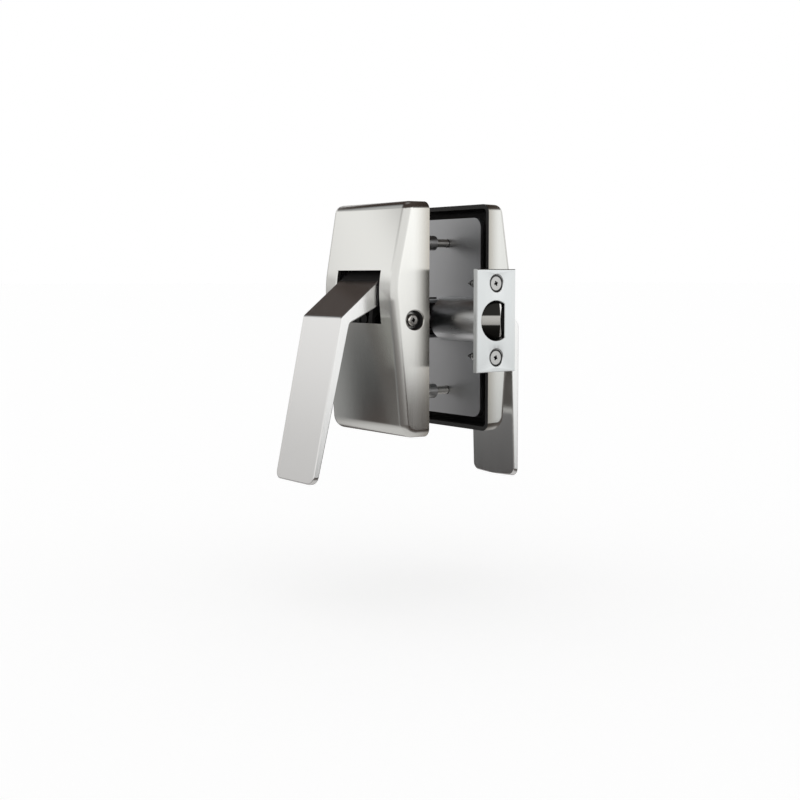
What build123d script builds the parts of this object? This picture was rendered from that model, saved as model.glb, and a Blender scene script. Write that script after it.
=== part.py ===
from build123d import *
import math
import os

# Hospital push/pull door latch, in millimetres.
# The origin is on the latch's centreline, in the middle of the pull-side cover, on the face of the door.
# +X points to the edge of the door, +Y into the door, and +Z up.
# It is drawn with the pull paddle pulled out to its stop and the bolt drawn back.

# The door that the latch fits
door_thickness = 44.45
backset = 69.85

# Clearances
running_clearance = 0.05
seat_clearance = 0.03
slot_clearance = 0.25
plain_gap = 0.3

# Cover
cover_width = 76.2
cover_height = 133.4
cover_wall = 2.5
cover_depth_apex = 23.6
cover_apex_height = 19.0
cover_depth_top = 14.0
cover_depth_bottom = 15.8
cover_side_draft = 10.0
cover_edge_radius = 5.0
cover_top_roll = 5.4
cover_bottom_roll = 8.5
cover_bend_radius = 60.0
opening_width = 42.0
opening_bottom = -2.2
opening_top = 28.0
opening_rim = 0.6

# Cover screws and their recess in the cover's sides
cover_screw_y = -9.0
cover_screw_radius = 2.0
cover_screw_head_radius = 3.6
cover_screw_head_height = 2.2
cover_screw_length = 11.0
cover_recess_radius = 5.3
cover_recess_depth = 3.6
cover_recess_floor = 2.0
cover_recess_wall = 1.6
cover_recess_lip = 0.7
cross_recess_length = 4.6
cross_recess_width = 1.1
cross_recess_depth = 1.3

# Paddle and its hinge
paddle_width = 38.1
paddle_lean = 12.1
hinge_y = -11.0
hinge_z = 22.8
hub_radius = 6.0
arm_slope = 38.0
arm_reach = 36.4
arm_under_slope = 24.7
arm_under_drop = 2.2
arm_under_inner_y = -14.0
paddle_length = 94.3
paddle_thickness_root = 6.5
paddle_thickness_tip = 3.5
paddle_corner_radius = 4.5
paddle_tip_rise = 1.0
paddle_bend_radius = 2.6
paddle_inner_radius = 3.0
paddle_edge_radius = 0.7
lever_thickness = 3.5
lever_gap = 9.0
lever_half_width = 4.5
lever_overhang = 5.0

# Hinge pin and its retaining clip
pin_radius = 3.0
pin_head_radius = 4.4
pin_head_height = 1.2
pin_groove_depth = 0.7
pin_end = 1.2
clip_thickness = 0.8
clip_radius = 4.8
side_clearance = 0.95

# Mounting plate
plate_height = 118.0
plate_thickness = 3.0
plate_corner_radius = 6.0
ear_thickness = 3.0
ear_radius = 6.5
flange_thickness = 3.0
flange_half_height = 9.0
flange_margin = 6.0
fixing_height = 44.5

# Through bolts and threaded posts
bolt_radius = 2.4
bolt_head_radius = 4.6
bolt_head_height = 2.4
bolt_tip_depth = 12.0
post_radius = 4.5
post_length = 34.0
post_bore_depth = 8.0
post_tenon_radius = 3.4

# Actuator rod and its guide bushes
rod_radius = 3.0
rod_overhang = 4.5
end_pin_radius = 2.0
end_pin_overhang = 0.8
bush_radius = 5.0
bush_flange_radius = 6.8
bush_flange_thickness = 1.5

# Rocker and its studs
rocker_half_swing = 30.0
rocker_plate = 2.0
rocker_inner_height = 4.0
rocker_hub_radius = 4.0
rocker_arm_half_width = 3.3
rocker_slot_wall = 1.4
rocker_web = 1.5
rocker_tip_radius = 1.8
cross_pin_radius = 1.25
stud_radius = 1.4
stud_collar_radius = 3.0
stud_collar_gap = 0.15
stud_head_radius = 2.8
stud_head_height = 1.0

# Tailpiece
tail_plate = 1.5
tail_half_width = 5.0
tail_slot_wall = 2.0
tail_web = 2.0
rivet_radius = 2.0
rivet_head_radius = 3.6
rivet_head_height = 1.4
rivet_depth = 8.0

# Chassis
chassis_sheet = 2.0
chassis_gap = 1.2
chassis_back = -20.0
chassis_front = 22.0
tongue_end = 28.7
tongue_half_width = 2.8
tenon_half_height = 5.0

# Latch tube, bolt and faceplate
tube_radius = 12.6
tube_wall = 1.0
tube_end = 27.0
end_bush_start = 29.0
end_bush_thickness = 3.0
faceplate_height = 57.15
faceplate_width = 28.575
faceplate_thickness = 3.0
faceplate_edge_break = 0.4
faceplate_screw_height = 20.64
bolt_hole_radius = 11.0
bolt_hole_flat = 6.1
bolt_travel = 15.1
bolt_tip_setback = 2.4
bolt_length = 22.0
bolt_stop_gap = 0.1
bolt_bevel_depth = 12.0
bolt_nose_flat = 0.7
bolt_crown_radius = 60.0
wood_screw_radius = 2.1
wood_screw_head_radius = 4.5
wood_screw_sink = 0.5
wood_screw_length = 24.0
wood_screw_point = 5.0

# Bolt spring
spring_wire_radius = 0.6
spring_wire_sides = 8
spring_radius = 10.35
spring_turns = 6
spring_end_gap = 0.15

# Places that follow from the sizes above
door_middle = door_thickness / 2
half_width = cover_width / 2
half_height = cover_height / 2
draft_slope = math.tan(math.radians(cover_side_draft))
side_at_screw = half_width + cover_screw_y * draft_slope
screw_seat = side_at_screw - cover_recess_depth
flange_outer = screw_seat - cover_recess_floor
ear_inner = paddle_width / 2 + side_clearance
ear_outer = ear_inner + ear_thickness

half_swing = math.radians(paddle_lean) / 2
rod_half_stroke = hinge_z * math.tan(half_swing)
pull_pin_y = hinge_y - rod_half_stroke
push_pin_y = door_thickness - hinge_y - rod_half_stroke

rocker_angle = math.radians(rocker_half_swing)
short_arm = rod_half_stroke / math.tan(rocker_angle)
long_arm = bolt_travel / 2 / math.sin(rocker_angle)
tip_half_rise = long_arm * (1 - math.cos(rocker_angle)) / 2
rocker_x = -short_arm
rocker_y = door_middle + long_arm - tip_half_rise
rocker_outer_height = rocker_inner_height + rocker_plate

tail_inner_height = rocker_outer_height + plain_gap
tail_outer_height = tail_inner_height + tail_plate
tail_slot_x = rocker_x - bolt_travel / 2
chassis_inner_height = tail_outer_height + chassis_gap
chassis_outer_height = chassis_inner_height + chassis_sheet

faceplate_back = backset - faceplate_thickness
bolt_tip = backset - bolt_tip_setback
bolt_back = bolt_tip - bolt_length
bolt_round = bolt_hole_radius - plain_gap
bolt_flat = bolt_hole_flat - plain_gap
tube_bore = tube_radius - tube_wall
wood_screw_head_depth = faceplate_thickness - wood_screw_sink


def block(x0, x1, y0, y1, z0, z1):
    """A block between two corners."""
    middle = ((x0 + x1) / 2, (y0 + y1) / 2, (z0 + z1) / 2)
    return Pos(*middle) * Box(abs(x1 - x0), abs(y1 - y0), abs(z1 - z0))


def bar_x(radius, x0, x1, y, z):
    """A round bar along X."""
    return Pos((x0 + x1) / 2, y, z) * Rot(0, 90, 0) * Cylinder(radius, abs(x1 - x0))


def bar_y(radius, y0, y1, x, z):
    """A round bar along Y."""
    return Pos(x, (y0 + y1) / 2, z) * Rot(90, 0, 0) * Cylinder(radius, abs(y1 - y0))


def bar_z(radius, z0, z1, x, y):
    """A round bar along Z."""
    return Pos(x, y, (z0 + z1) / 2) * Cylinder(radius, abs(z1 - z0))


def side_face(points):
    """A flat side outline in the plane x = 0, from (y, z) points."""
    return make_face(Polyline(*[(0, y, z) for y, z in points], close=True))


def along_x(face, half_length):
    """A side outline carried the same length to both sides."""
    return extrude(face, amount=half_length, dir=(1, 0, 0), both=True)


def along_z(points, z0, z1):
    """A plan outline, given as (x, y) points, carried along Z."""
    face = make_face(Polyline(*[(x, y, z0) for x, y in points], close=True))
    return extrude(face, amount=z1 - z0, dir=(0, 0, 1))


def near(face, y, z):
    """The corners of a side outline at one (y, z) point."""
    return [v for v in face.vertices() if abs(v.Y - y) < 0.01 and abs(v.Z - z) < 0.01]


def cross_recess(x, y, z, turn):
    """The cross-shaped driver recess of a screw whose head faces +X, sunk below x."""
    depth = cross_recess_depth
    arm = Box(2 * depth, cross_recess_length, cross_recess_width)
    cross = arm + Rot(90, 0, 0) * arm
    taper = Rot(0, -90, 0) * Cone(cross_recess_length / 2, cross_recess_width / 2, 2 * depth)
    return Pos(x, y, z) * Rot(turn, 0, 0) * (cross & taper)


def other_side(shape):
    """The same piece on the push side: half a turn about the middle of the door."""
    return Pos(0, door_middle, 0) * Rot(0, 0, 180) * Pos(0, -door_middle, 0) * shape


def cover_form(inset):
    """The cover's outer form, or its hollow when the form is inset by the wall."""
    width = half_width - inset
    height = half_height - inset
    apex = (inset - cover_depth_apex, cover_apex_height)
    top = (inset - cover_depth_top, height)
    bottom = (inset - cover_depth_bottom, -height)
    outline = side_face([(0, -height), bottom, apex, top, (0, height)])
    outline = fillet(near(outline, *apex), cover_bend_radius)
    outline = fillet(near(outline, *top), cover_top_roll - inset)
    outline = fillet(near(outline, *bottom), cover_bottom_roll - inset)
    reach = 2 * cover_depth_apex
    inner = width - reach * draft_slope
    drafted = along_z([(-width, 0), (width, 0), (inner, -reach), (-inner, -reach)], -height, height)
    form = along_x(outline, width) & drafted
    side_edges = [e for e in form.edges() if e.center().Y < -1 and abs(e.center().X) > 1]
    return fillet(side_edges, cover_edge_radius - inset)


def cover():
    """Cast cover: sloped front with an opening, drafted sides with a sunk seat for each screw."""
    outside = cover_form(0)
    shell = outside - cover_form(cover_wall)
    front = -2 * cover_depth_apex
    shell = shell - block(
        -opening_width / 2, opening_width / 2, front, 2 * cover_screw_y, opening_bottom, opening_top)
    for side in (-1, 1):
        cup = bar_x(
            cover_recess_radius + cover_recess_wall, side * flange_outer, side * half_width, cover_screw_y, 0)
        shell = shell + (cup & outside)
        shell = shell - bar_x(cover_recess_radius, side * screw_seat, side * half_width, cover_screw_y, 0)
        shell = shell - bar_x(
            cover_screw_radius + plain_gap, side * flange_outer, side * half_width, cover_screw_y, 0)
    rim = []
    for edge in shell.edges():
        middle = edge.center()
        inside_height = opening_bottom - 0.1 < middle.Z < opening_top + 0.1
        if abs(middle.X) < opening_width / 2 + 0.1 and middle.Y < -22 and inside_height:
            rim.append(edge)
    shell = chamfer(rim, opening_rim)
    mouths = []
    for edge in shell.edges():
        middle = edge.center(CenterOf.MASS)
        at_recess = abs(middle.Y - cover_screw_y) < 1 and abs(middle.Z) < 1
        if at_recess and abs(middle.X) > screw_seat + 1:
            mouths.append(edge)
    return fillet(mouths, cover_recess_lip)


def lever():
    """The fork under the hub that moves the rod's end pin, drawn hanging straight down."""
    reach = hinge_z + lever_overhang
    outer = lever_gap / 2 + lever_thickness
    lever_body = block(-outer, outer, -lever_half_width, lever_half_width, -reach, 0)
    slot = end_pin_radius + slot_clearance
    top = end_pin_radius + slot_clearance - hinge_z
    lever_body = lever_body - block(-outer, outer, -slot, slot, -reach, top - slot)
    lever_body = lever_body - bar_x(slot, -outer, outer, 0, top - slot)
    half_gap = lever_gap / 2
    lever_body = lever_body - block(
        -half_gap, half_gap, -lever_half_width, lever_half_width, -reach, -hub_radius)
    return lever_body


def paddle():
    """Cranked paddle: hub, wedge-shaped arm, flat blade that thins to its rounded tip, and lever fork."""
    slope = math.radians(arm_slope)
    lean = math.radians(paddle_lean)
    under = math.tan(math.radians(arm_under_slope))
    down = (-math.sin(lean), -math.cos(lean))
    inward = (math.cos(lean), -math.sin(lean))

    def on_blade(length, depth):
        """A point of the blade, from the outer bend down its outer face and in from it."""
        return (
            bend[0] + length * down[0] + depth * inward[0],
            bend[1] + length * down[1] + depth * inward[1],
        )

    crest = (hinge_y - hub_radius * math.sin(slope), hinge_z + hub_radius * math.cos(slope))
    bend_y = hinge_y - arm_reach
    bend = (bend_y, crest[1] - (crest[0] - bend_y) * math.tan(slope))
    tip_outer = on_blade(paddle_length, 0)
    tip_inner = on_blade(paddle_length, paddle_thickness_tip)
    root = on_blade(arm_under_drop, paddle_thickness_root)
    under_inner = (arm_under_inner_y, root[1] + (arm_under_inner_y - root[0]) * under)
    outline = side_face([
        crest, bend, tip_outer, tip_inner, root, under_inner,
        (hinge_y + 2, hinge_z - hub_radius + 1), (hinge_y, hinge_z),
    ])
    outline = fillet(near(outline, *bend), paddle_bend_radius)
    outline = fillet(near(outline, *root), paddle_inner_radius)
    half = paddle_width / 2
    lowest = tip_inner[1]
    top = hinge_z + 2 * hub_radius
    front_lines = Polyline(
        (-half, 0, lowest + paddle_tip_rise), (-half, 0, top), (half, 0, top), (half, 0, lowest + paddle_tip_rise))
    front_arc = ThreePointArc(
        (half, 0, lowest + paddle_tip_rise), (0, 0, lowest), (-half, 0, lowest + paddle_tip_rise))
    front = make_face([front_lines, front_arc])
    corners = [v for v in front.vertices() if v.Z < lowest + 2 * paddle_tip_rise]
    front = fillet(corners, paddle_corner_radius)
    body = along_x(outline, half) & extrude(front, amount=4 * arm_reach, dir=(0, 1, 0), both=True)
    rims = []
    for edge in body.edges():
        middle = edge.center()
        at_tip = middle.Z < lowest + paddle_corner_radius and middle.Y < bend_y
        if middle.Y < arm_under_inner_y and (at_tip or abs(middle.X) > half - 0.01):
            rims.append(edge)
    body = fillet(rims, paddle_edge_radius)
    body = body + bar_x(hub_radius, -half, half, hinge_y, hinge_z)
    body = body + Pos(0, hinge_y, hinge_z) * Rot(-math.degrees(half_swing), 0, 0) * lever()
    return body - bar_x(pin_radius + running_clearance, -half, half, hinge_y, hinge_z)


def hinge_pin():
    """Headed pin through both ears and the hub, with a groove for its clip."""
    tail = ear_outer + clip_thickness + pin_end
    pin = bar_x(pin_radius, -tail, ear_outer, hinge_y, hinge_z)
    pin = pin + bar_x(pin_head_radius, ear_outer, ear_outer + pin_head_height, hinge_y, hinge_z)
    groove = bar_x(pin_radius, -ear_outer - clip_thickness, -ear_outer, hinge_y, hinge_z)
    groove = groove - bar_x(
        pin_radius - pin_groove_depth, -ear_outer - clip_thickness, -ear_outer, hinge_y, hinge_z)
    return pin - groove


def pin_clip():
    """Retaining clip pushed into the pin's groove: a ring with an open mouth."""
    neck = pin_radius - pin_groove_depth + seat_clearance
    x0 = -ear_outer - clip_thickness + seat_clearance
    x1 = -ear_outer - seat_clearance
    ring = bar_x(clip_radius, x0, x1, hinge_y, hinge_z) - bar_x(neck, x0, x1, hinge_y, hinge_z)
    mouth = block(x0, x1, hinge_y - neck, hinge_y + neck, hinge_z - clip_radius - 1, hinge_z)
    return ring - mouth


def mounting_plate(fixing_hole_radius, tenon_side):
    """Plate against the door: ears for the hinge pin, flanges for the cover screws, holes for the fixings."""
    height = plate_height / 2
    plate = block(-flange_outer, flange_outer, -plate_thickness, 0, -height, height)
    plate = fillet(plate.edges().filter_by(Axis.Y), plate_corner_radius)
    for side in (-1, 1):
        ear = block(
            side * ear_inner, side * ear_outer, hinge_y, -plate_thickness / 2,
            hinge_z - ear_radius, hinge_z + ear_radius)
        ear = ear + bar_x(ear_radius, side * ear_inner, side * ear_outer, hinge_y, hinge_z)
        ear = ear - bar_x(pin_radius + seat_clearance, side * ear_inner, side * ear_outer, hinge_y, hinge_z)
        flange_inner = flange_outer - flange_thickness
        flange = block(
            side * flange_inner, side * flange_outer, cover_screw_y - flange_margin, -plate_thickness / 2,
            -flange_half_height, flange_half_height)
        flange = flange - bar_x(
            cover_screw_radius + seat_clearance, side * flange_inner, side * flange_outer, cover_screw_y, 0)
        plate = plate + ear + flange
    plate = plate - bar_y(bush_radius + seat_clearance, -plate_thickness, 0, 0, 0)
    for height_sign in (-1, 1):
        plate = plate - bar_y(fixing_hole_radius, -plate_thickness, 0, 0, height_sign * fixing_height)
    slot_outer = tenon_side * (chassis_back - seat_clearance)
    slot_inner = tenon_side * (chassis_back + chassis_sheet + seat_clearance)
    slot_height = tenon_half_height + seat_clearance
    return plate - block(slot_outer, slot_inner, -plate_thickness, 0, -slot_height, slot_height)


def cover_screw(side, turn):
    """Pan-head screw through the cover's side into the mounting plate's flange."""
    head_top = screw_seat + cover_screw_head_height
    head = bar_x(cover_screw_head_radius, screw_seat, head_top, cover_screw_y, 0)
    rim = [e for e in head.edges() if e.center().X > head_top - 0.01]
    head = fillet(rim, cover_screw_head_height / 2)
    screw = head + bar_x(
        cover_screw_radius, screw_seat - cover_screw_length, screw_seat, cover_screw_y, 0)
    screw = screw - cross_recess(head_top, cover_screw_y, 0, turn)
    if side > 0:
        return screw
    return Rot(0, 180, 0) * screw


def threaded_post(height_sign):
    """Round post riveted into the pull-side plate, bored for the through bolt."""
    z = height_sign * fixing_height
    post = bar_y(post_radius, 0, post_length, 0, z)
    post = post + bar_y(post_tenon_radius, -plate_thickness, 0, 0, z)
    return post - bar_y(bolt_radius + seat_clearance, post_bore_depth, post_length, 0, z)


def through_bolt(height_sign):
    """Machine screw from the push-side plate into the post."""
    z = height_sign * fixing_height
    seat = door_thickness + plate_thickness
    head = bar_y(bolt_head_radius, seat, seat + bolt_head_height, 0, z)
    rim = [e for e in head.edges() if e.center().Y > seat + bolt_head_height - 0.01]
    head = fillet(rim, bolt_head_height / 2)
    bolt = head + bar_y(bolt_radius, bolt_tip_depth, seat, 0, z)
    slot = Rot(0, 0, 90) * cross_recess(seat + bolt_head_height, 0, z, 45 * height_sign)
    return bolt - slot


def guide_bush():
    """Flanged bush in the mounting plate that guides the rod."""
    bush = bar_y(bush_radius, -plate_thickness, 0, 0, 0)
    bush = bush + bar_y(bush_flange_radius, 0, bush_flange_thickness, 0, 0)
    return bush - bar_y(
        rod_radius + running_clearance, -plate_thickness, bush_flange_thickness, 0, 0)


def actuator_rod():
    """Round rod through the door, cross-drilled for its three pins."""
    rod = bar_y(rod_radius, pull_pin_y - rod_overhang, push_pin_y + rod_overhang, 0, 0)
    for pin_y in (pull_pin_y, push_pin_y):
        rod = rod - bar_x(end_pin_radius + seat_clearance, -rod_radius, rod_radius, pin_y, 0)
    cross_y = rocker_y - rod_half_stroke
    return rod - bar_z(cross_pin_radius + seat_clearance, -rod_radius, rod_radius, 0, cross_y)


def rod_end_pin(pin_y):
    """Cross pin at the rod's end that the paddle's fork moves."""
    half_length = lever_gap / 2 + lever_thickness + end_pin_overhang
    return bar_x(end_pin_radius, -half_length, half_length, pin_y, 0)


def rod_cross_pin():
    """Upright pin in the rod that turns the rocker."""
    cross_y = rocker_y - rod_half_stroke
    return bar_z(cross_pin_radius, -rocker_outer_height, rocker_outer_height, 0, cross_y)


def rocker():
    """Folded bell crank: two equal plates joined by a web, a slot on its short arm, studs on its long arm."""
    slot = cross_pin_radius + slot_clearance
    slot_start = short_arm
    slot_end = short_arm / math.cos(rocker_angle)
    arm_end = slot_end + slot + rocker_slot_wall - rocker_arm_half_width
    web_outer = -rocker_hub_radius
    low = rocker_inner_height
    high = rocker_outer_height
    body = None
    for level in (-1, 1):
        z0 = min(level * low, level * high)
        z1 = max(level * low, level * high)
        plate = bar_z(rocker_hub_radius, z0, z1, 0, 0)
        plate = plate + block(web_outer, 0, -rocker_arm_half_width, rocker_arm_half_width, z0, z1)
        plate = plate + block(0, arm_end, -rocker_arm_half_width, rocker_arm_half_width, z0, z1)
        plate = plate + bar_z(rocker_arm_half_width, z0, z1, arm_end, 0)
        plate = plate + block(-rocker_arm_half_width, rocker_arm_half_width, -long_arm, 0, z0, z1)
        plate = plate + bar_z(rocker_arm_half_width, z0, z1, 0, -long_arm)
        plate = plate - bar_z(stud_radius + running_clearance, z0, z1, 0, 0)
        plate = plate - block(slot_start, slot_end, -slot, slot, z0, z1)
        plate = plate - bar_z(slot, z0, z1, slot_start, 0)
        plate = plate - bar_z(slot, z0, z1, slot_end, 0)
        tip = bar_z(rocker_tip_radius, level * high, level * tail_outer_height, 0, -long_arm)
        plate = plate + tip
        body = plate if body is None else body + plate
    web = block(
        web_outer, web_outer + rocker_web, -rocker_arm_half_width, rocker_arm_half_width, -low, low)
    body = body + web
    return Pos(rocker_x, rocker_y, 0) * Rot(0, 0, -rocker_half_swing) * body


def rocker_stud(level):
    """Shouldered stud riveted into the chassis, on which the rocker turns."""
    def ring(radius, low, high):
        return bar_z(radius, level * low, level * high, rocker_x, rocker_y)

    collar_start = rocker_outer_height + stud_collar_gap
    stud = ring(stud_radius, rocker_inner_height - plain_gap, chassis_outer_height)
    stud = stud + ring(stud_collar_radius, collar_start, chassis_inner_height)
    return stud + ring(stud_head_radius, chassis_outer_height, chassis_outer_height + stud_head_height)


def chassis_frame():
    """Channel between both mounting plates, with tongues in the latch tube and tenons in the plates."""
    frame = block(
        chassis_back, chassis_back + chassis_sheet, 0, door_thickness,
        -chassis_outer_height, chassis_outer_height)
    tenon = block(
        chassis_back, chassis_back + chassis_sheet, -plate_thickness, door_thickness + plate_thickness,
        -tenon_half_height, tenon_half_height)
    frame = frame + tenon
    for level in (-1, 1):
        low = level * chassis_inner_height
        high = level * chassis_outer_height
        frame = frame + block(chassis_back, chassis_front, 0, door_thickness, low, high)
        frame = frame + block(
            chassis_front, tongue_end, door_middle - tongue_half_width, door_middle + tongue_half_width,
            low, high)
        frame = frame - bar_z(stud_radius + seat_clearance, low, high, rocker_x, rocker_y)
    return frame


def tailpiece():
    """Folded fork on the bolt's back, whose slots take the rocker's studs."""
    slot = rocker_tip_radius + slot_clearance
    slot_reach = tip_half_rise
    prong_end = tail_slot_x - slot - tail_slot_wall
    fork = block(
        bolt_back - tail_web, bolt_back, door_middle - tail_half_width, door_middle + tail_half_width,
        -tail_outer_height, tail_outer_height)
    for level in (-1, 1):
        low = level * tail_inner_height
        high = level * tail_outer_height
        fork = fork + block(
            prong_end, bolt_back, door_middle - tail_half_width, door_middle + tail_half_width, low, high)
        fork = fork - block(
            tail_slot_x - slot, tail_slot_x + slot, door_middle - slot_reach, door_middle + slot_reach,
            low, high)
        fork = fork - bar_z(slot, low, high, tail_slot_x, door_middle - slot_reach)
        fork = fork - bar_z(slot, low, high, tail_slot_x, door_middle + slot_reach)
    return fork - bar_x(rivet_radius + seat_clearance, bolt_back - tail_web, bolt_back, door_middle, 0)


def tailpiece_rivet():
    """Headed rivet that holds the fork to the bolt."""
    seat = bolt_back - tail_web
    shank = bar_x(rivet_radius, seat, bolt_back + rivet_depth, door_middle, 0)
    return shank + bar_x(rivet_head_radius, seat - rivet_head_height, seat, door_middle, 0)


def bolt_bevel(start_y):
    """What is ground off the nose: all that stands out of a sloping face with a slight crown."""
    run = bolt_bevel_depth
    fall = start_y - (door_middle - bolt_round)
    length = math.hypot(run, fall)
    crown_drop = bolt_crown_radius - math.sqrt(bolt_crown_radius ** 2 - bolt_round ** 2)
    ground = block(-length, 2 * length, -crown_drop, 2 * bolt_round, -bolt_round, bolt_round)
    ground = ground - bar_x(bolt_crown_radius, -length, 2 * length, -bolt_crown_radius, 0)
    turn = math.degrees(math.atan2(-fall, -run))
    return Pos(bolt_tip, start_y, 0) * Rot(0, 0, turn) * ground


def latch_bolt():
    """Bolt of D-shaped section: shoulder behind the faceplate, nose with one bevelled side."""
    shoulder_end = faceplate_back - bolt_stop_gap - bolt_travel
    shoulder = bar_x(tube_bore - plain_gap, bolt_back, shoulder_end, door_middle, 0)
    nose = bar_x(bolt_round, bolt_back, bolt_tip, door_middle, 0)
    flat_y = door_middle + bolt_flat
    nose = nose - block(
        bolt_back, bolt_tip, flat_y, flat_y + bolt_round, -bolt_round, bolt_round)
    nose = nose - bolt_bevel(flat_y - bolt_nose_flat)
    bolt = shoulder + nose
    return bolt - bar_x(
        rivet_radius + seat_clearance, bolt_back, bolt_back + rivet_depth + 1, door_middle, 0)


def bolt_spring():
    """Open coil spring between the end bush and the bolt."""
    start = end_bush_start + end_bush_thickness + spring_end_gap + spring_wire_radius
    length = bolt_back - spring_end_gap - spring_wire_radius - start
    path = Helix(pitch=length / spring_turns, height=length, radius=spring_radius)
    section = Plane(origin=path @ 0, z_dir=path % 0) * RegularPolygon(spring_wire_radius, spring_wire_sides)
    coil = sweep(section, path=path, is_frenet=True)
    return Pos(start, door_middle, 0) * Rot(0, 90, 0) * coil


def latch_tube():
    """Thin tube in the door's edge that holds the bolt and its spring."""
    tube = bar_x(tube_radius, tube_end, faceplate_back, door_middle, 0)
    return tube - bar_x(tube_bore, tube_end, faceplate_back, door_middle, 0)


def tube_end_bush():
    """Disc crimped in the tube's end, with a window for the fork."""
    end = end_bush_start + end_bush_thickness
    disc = bar_x(tube_bore - running_clearance, end_bush_start, end, door_middle, 0)
    half_window = tail_half_width + plain_gap
    height = tail_outer_height + plain_gap
    return disc - block(
        end_bush_start, end, door_middle - half_window, door_middle + half_window, -height, height)


def screw_head_cone(height_sign, gap, depth):
    """A countersunk head from the back of the faceplate outwards, or its hole when a gap is added."""
    spread = (wood_screw_head_radius - wood_screw_radius) / wood_screw_head_depth
    base = wood_screw_radius + gap
    cone = Cone(base, base + spread * depth, depth)
    z = height_sign * faceplate_screw_height
    return Pos(faceplate_back + depth / 2, door_middle, z) * Rot(0, 90, 0) * cone


def faceplate_screw(height_sign):
    """Countersunk cross-recess wood screw, its head a little below the faceplate's front."""
    z = height_sign * faceplate_screw_height
    head = screw_head_cone(height_sign, 0, wood_screw_head_depth)
    point_start = backset - wood_screw_length + wood_screw_point
    shank = bar_x(wood_screw_radius, point_start, faceplate_back, door_middle, z)
    point = Cone(0.3, wood_screw_radius, wood_screw_point)
    point = Pos(point_start - wood_screw_point / 2, door_middle, z) * Rot(0, 90, 0) * point
    return head + shank + point - cross_recess(backset - wood_screw_sink, door_middle, z, 20 * height_sign)


def latch_faceplate():
    """Square-cornered plate with the bolt's D-shaped hole and two countersunk holes."""
    half = faceplate_width / 2
    plate = block(
        faceplate_back, backset, door_middle - half, door_middle + half,
        -faceplate_height / 2, faceplate_height / 2)
    hole = bar_x(bolt_hole_radius, faceplate_back, backset, door_middle, 0)
    hole = hole - block(
        faceplate_back, backset, door_middle + bolt_hole_flat, door_middle + bolt_hole_radius,
        -bolt_hole_radius, bolt_hole_radius)
    plate = plate - hole
    for height_sign in (-1, 1):
        plate = plate - screw_head_cone(height_sign, seat_clearance, faceplate_thickness)
    front_edges = [e for e in plate.edges() if e.center().X > backset - 0.01]
    return chamfer(front_edges, faceplate_edge_break)


pieces = {
    "pull_cover": cover(),
    "pull_paddle": paddle(),
    "pull_mounting_plate": mounting_plate(post_tenon_radius + seat_clearance, 1),
    "pull_hinge_pin": hinge_pin(),
    "pull_pin_clip": pin_clip(),
    "pull_cover_screw_right": cover_screw(1, 12),
    "pull_cover_screw_left": cover_screw(-1, 35),
    "pull_guide_bush": guide_bush(),
    "threaded_post_upper": threaded_post(1),
    "threaded_post_lower": threaded_post(-1),
    "through_bolt_upper": through_bolt(1),
    "through_bolt_lower": through_bolt(-1),
    "actuator_rod": actuator_rod(),
    "rod_end_pin_pull": rod_end_pin(pull_pin_y),
    "rod_end_pin_push": rod_end_pin(push_pin_y),
    "rod_cross_pin": rod_cross_pin(),
    "rocker": rocker(),
    "rocker_stud_upper": rocker_stud(1),
    "rocker_stud_lower": rocker_stud(-1),
    "chassis_frame": chassis_frame(),
    "latch_bolt": latch_bolt(),
    "tailpiece": tailpiece(),
    "tailpiece_rivet": tailpiece_rivet(),
    "bolt_spring": bolt_spring(),
    "latch_tube": latch_tube(),
    "tube_end_bush": tube_end_bush(),
    "latch_faceplate": latch_faceplate(),
    "faceplate_screw_upper": faceplate_screw(1),
    "faceplate_screw_lower": faceplate_screw(-1),
}

# The push side is the same set; its paddle stands pushed in, parallel to the door
push_paddle = Pos(0, hinge_y, hinge_z) * Rot(paddle_lean, 0, 0) * Pos(0, -hinge_y, -hinge_z) * paddle()
pieces["push_cover"] = other_side(cover())
pieces["push_paddle"] = other_side(push_paddle)
pieces["push_mounting_plate"] = other_side(mounting_plate(bolt_radius + plain_gap, -1))
pieces["push_hinge_pin"] = other_side(hinge_pin())
pieces["push_pin_clip"] = other_side(pin_clip())
pieces["push_cover_screw_right"] = other_side(cover_screw(1, 70))
pieces["push_cover_screw_left"] = other_side(cover_screw(-1, 5))
pieces["push_guide_bush"] = other_side(guide_bush())

os.makedirs("parts", exist_ok=True)
for name, shape in pieces.items():
    export_step(shape, f"parts/{name}.step")
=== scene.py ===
import math

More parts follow.
